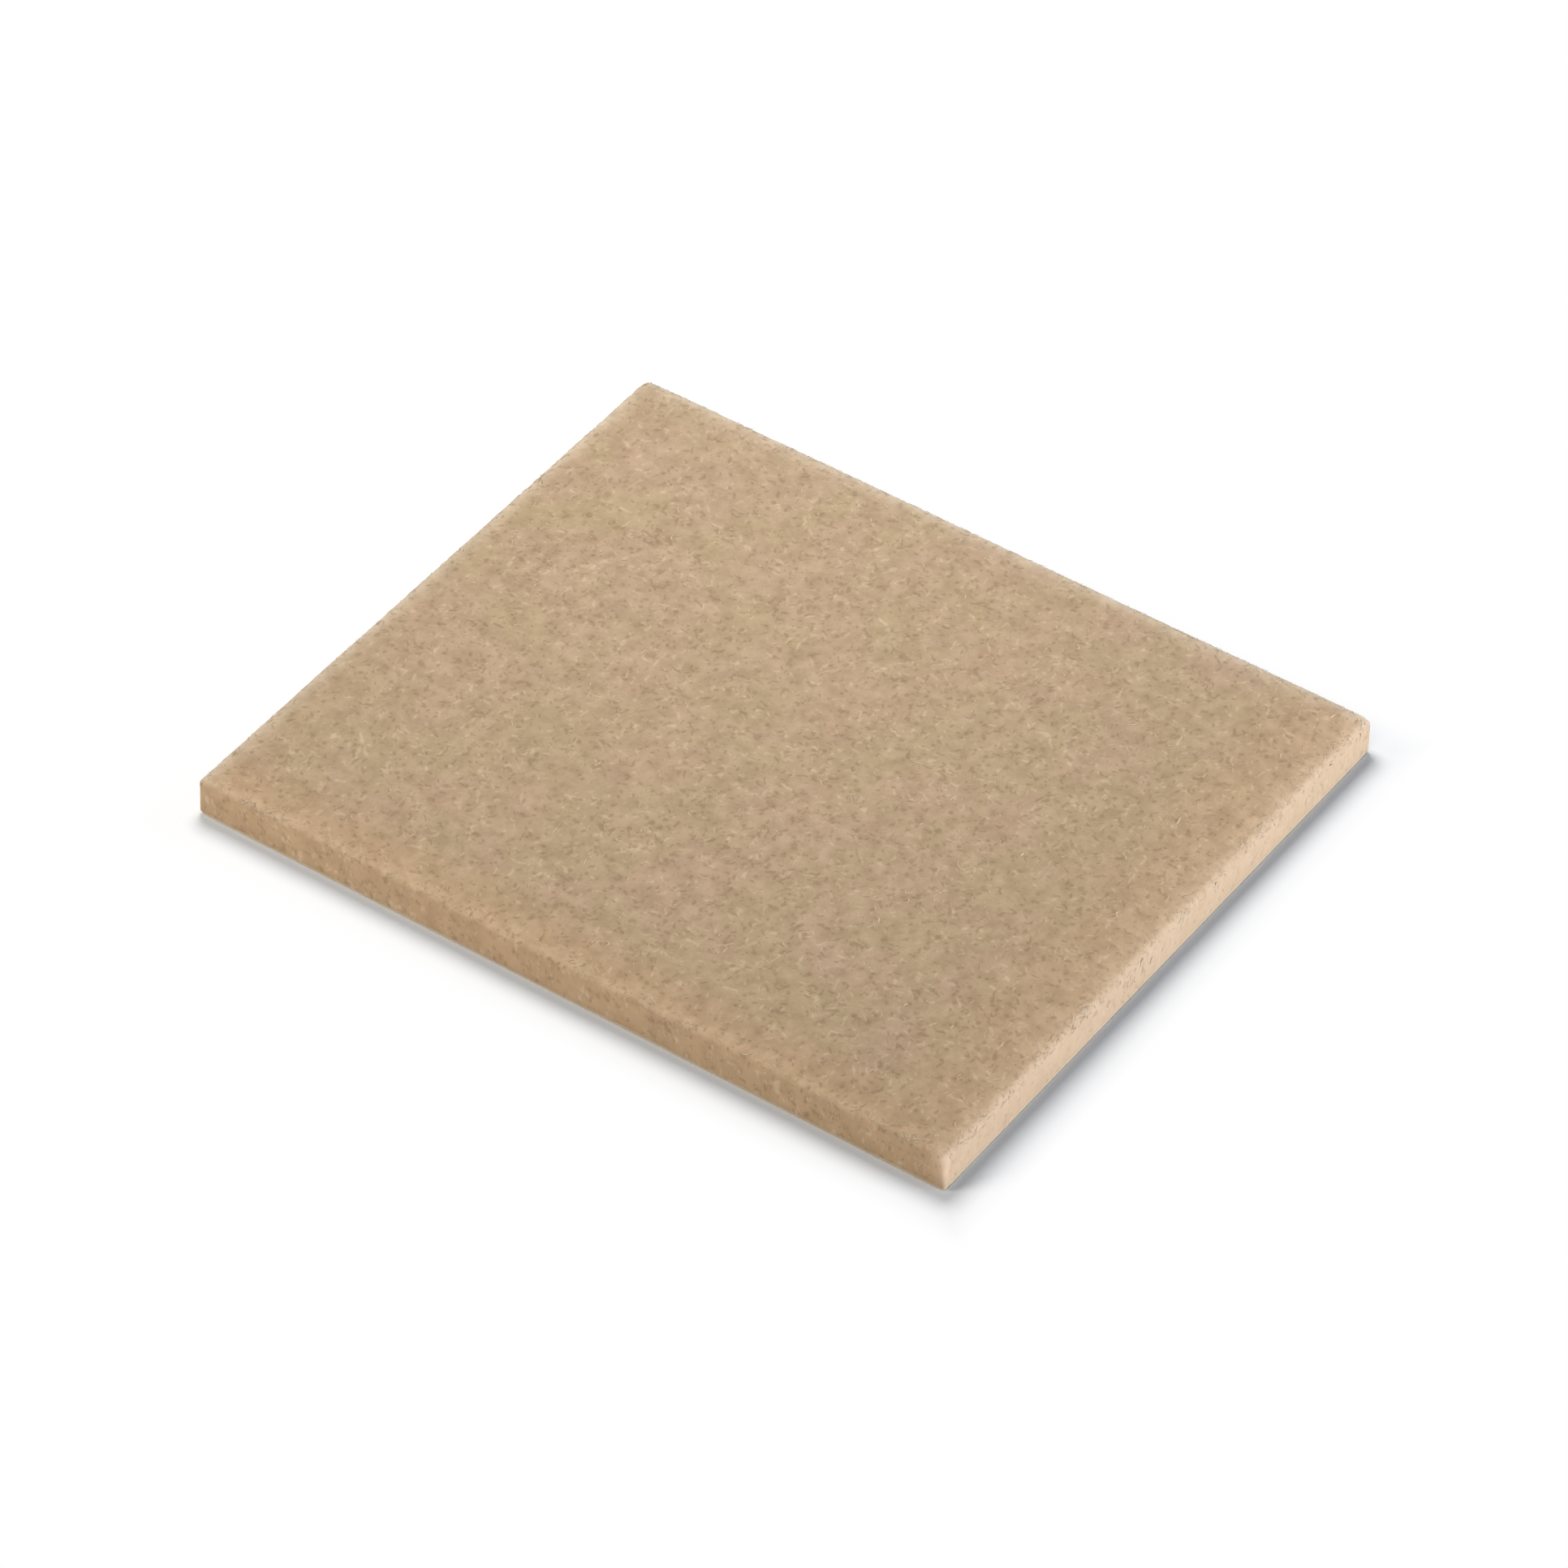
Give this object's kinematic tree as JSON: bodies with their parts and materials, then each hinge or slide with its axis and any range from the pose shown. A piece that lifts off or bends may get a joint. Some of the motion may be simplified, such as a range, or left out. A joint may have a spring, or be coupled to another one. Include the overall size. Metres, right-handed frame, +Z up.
{
  "type": "felt furniture slider",
  "caption": "Flat rectangular felt furniture slider with soft-shouldered die-cut edges, a self-adhesive backing and a peel-off release liner.",
  "frame": {"origin": "centre of the release liner's underside, where the part lies on a surface", "axes": "+X along the long side, +Y along the short side, +Z up out of the felt's glide face"},
  "size_m": [0.1, 0.085, 0.0053],
  "materials": {
    "felt": "matte",
    "adhesive": "gloss",
    "film": "satin",
    "liner_paper": "matte"
  },
  "bodies": {
    "liner": {"release_liner": "liner_paper"},
    "pad": {"felt_pad": "felt", "felt_side_adhesive": "adhesive", "carrier_film": "film", "furniture_side_adhesive": "adhesive"}
  },
  "joints": [
    {"name": "liner_peel", "type": "hinge", "parent": "liner", "child": "pad", "pos_m": [0, 0.0425, 0.0001], "axis": [-1, 0, 0], "range_deg": [0, 90]}
  ]
}
